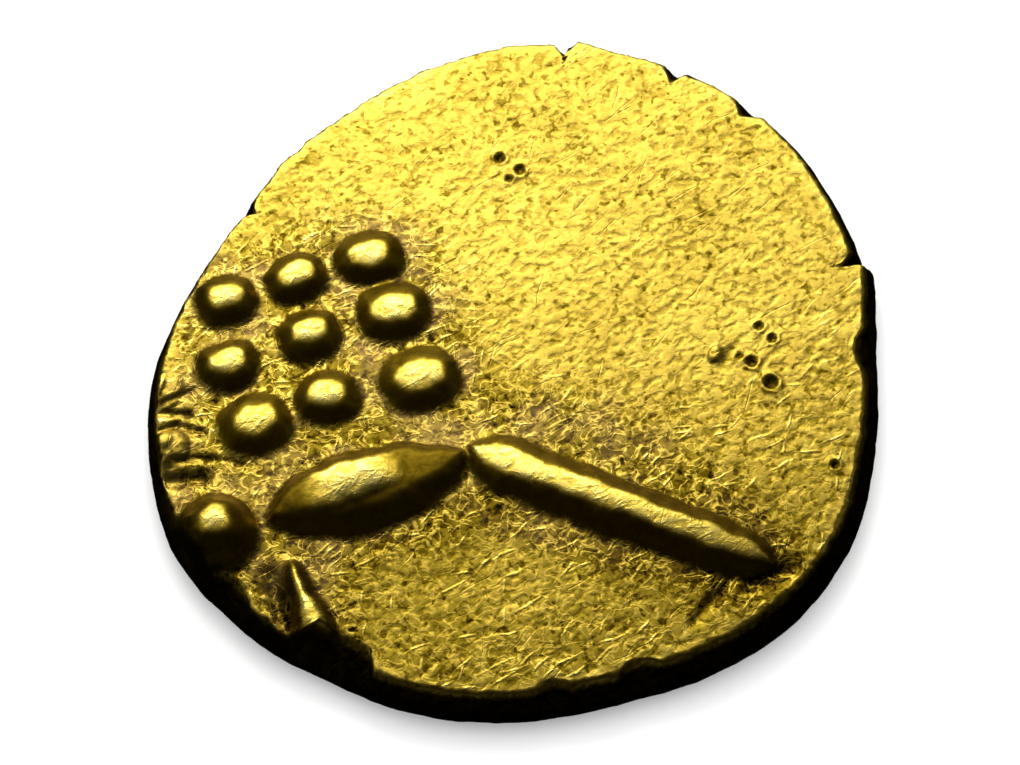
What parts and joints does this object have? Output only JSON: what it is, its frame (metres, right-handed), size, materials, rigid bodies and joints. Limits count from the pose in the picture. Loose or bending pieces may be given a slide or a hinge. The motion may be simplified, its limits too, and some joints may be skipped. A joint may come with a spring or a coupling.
{
  "type": "gold coin",
  "caption": "Small hammered gold coin, an uneven disc with a bulging cracked edge, struck off centre with raised round pellets, a leaf-shaped stroke and a long bar.",
  "frame": {"origin": "middle of the box around the coin, on the surface that it lies on", "axes": "+Z out of the struck face that shows, +Y away from the picture's viewer, the coin's long way"},
  "size_m": [0.0074, 0.0078, 0.0009],
  "materials": {
    "hammered_gold": "worn hammered gold, darker in the recesses and on the edge"
  },
  "bodies": {
    "root": {"gold_coin": "hammered_gold"}
  },
  "joints": []
}
